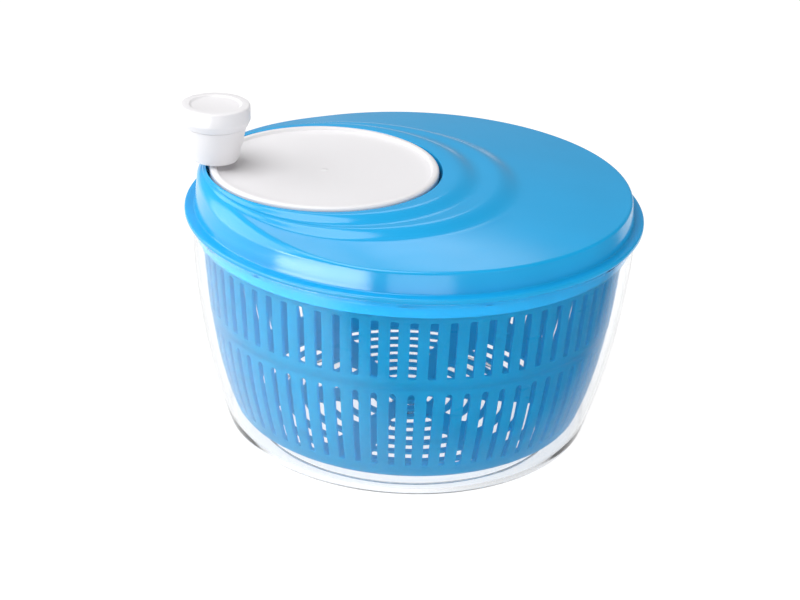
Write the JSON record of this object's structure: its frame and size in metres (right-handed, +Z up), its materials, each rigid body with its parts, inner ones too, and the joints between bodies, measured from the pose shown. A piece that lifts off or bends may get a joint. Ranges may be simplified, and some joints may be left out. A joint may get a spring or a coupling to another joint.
{
  "type": "salad spinner",
  "caption": "Hand-cranked salad spinner: clear bowl, slotted blue basket on a pivot, blue lid with an off-centre white crank disc and knob, and a gear drive under it.",
  "frame": {"origin": "centre of the bowl's foot ring, on the surface it stands on", "axes": "+Z up along the bowl's and basket's axis; the crank's axis is parallel to it on the -X side, and the knob is stored towards -X"},
  "size_m": [0.2618, 0.26, 0.1924],
  "materials": {
    "clear_plastic": "clear, polished, slightly blue at the thick edges",
    "sheer_blue_plastic": "sheer blue, satin",
    "blue_plastic": "solid blue, glossy",
    "white_plastic": "white, satin",
    "acetal": "natural white, moulded",
    "steel": "turned and zinc plated"
  },
  "bodies": {
    "bowl": {"bowl": "clear_plastic", "pivot_pin": "steel"},
    "pivot": {"pivot_cup": "acetal"},
    "basket": {"basket": "sheer_blue_plastic"},
    "lid": {"lid_shell": "blue_plastic", "crank_bush": "acetal", "pinion_bush": "acetal"},
    "crank": {"crank_disc": "white_plastic", "crank_gear": "acetal", "gear_screw_1": "steel", "gear_screw_2": "steel", "gear_screw_3": "steel", "axle_washer": "steel", "axle_screw": "steel", "knob_spindle": "steel", "knob_push_nut": "steel"},
    "knob": {"knob_body": "white_plastic", "knob_cap": "white_plastic"},
    "drive": {"pinion": "acetal", "drive_plate": "sheer_blue_plastic", "drive_washer": "steel", "drive_screw": "steel"}
  },
  "joints": [
    {"name": "basket_lift", "type": "slide", "parent": "bowl", "child": "pivot", "axis": [0, 0, 1], "range_m": [0, 0.16]},
    {"name": "basket_spin", "type": "hinge", "parent": "pivot", "child": "basket", "pos_m": [0, 0, 0.015], "axis": [0, 0, 1], "continuous": true},
    {"name": "lid_lift", "type": "slide", "parent": "pivot", "child": "lid", "axis": [0, 0, 1], "range_m": [0, 0.11]},
    {"name": "crank_spin", "type": "hinge", "parent": "lid", "child": "crank", "pos_m": [-0.05175, 0, 0.15], "axis": [0, 0, 1], "continuous": true},
    {"name": "knob_spin", "type": "hinge", "parent": "crank", "child": "knob", "pos_m": [-0.11223, 0.00796, 0.165], "axis": [0, 0, 1], "continuous": true},
    {"name": "drive_spin", "type": "hinge", "parent": "lid", "child": "drive", "pos_m": [0, 0, 0.15], "axis": [0, 0, 1], "continuous": true}
  ],
  "couplings": [
    {"joint": "drive_spin", "follows": "crank_spin", "ratio": -3.9286},
    {"joint": "basket_spin", "follows": "crank_spin", "ratio": -3.9286}
  ]
}
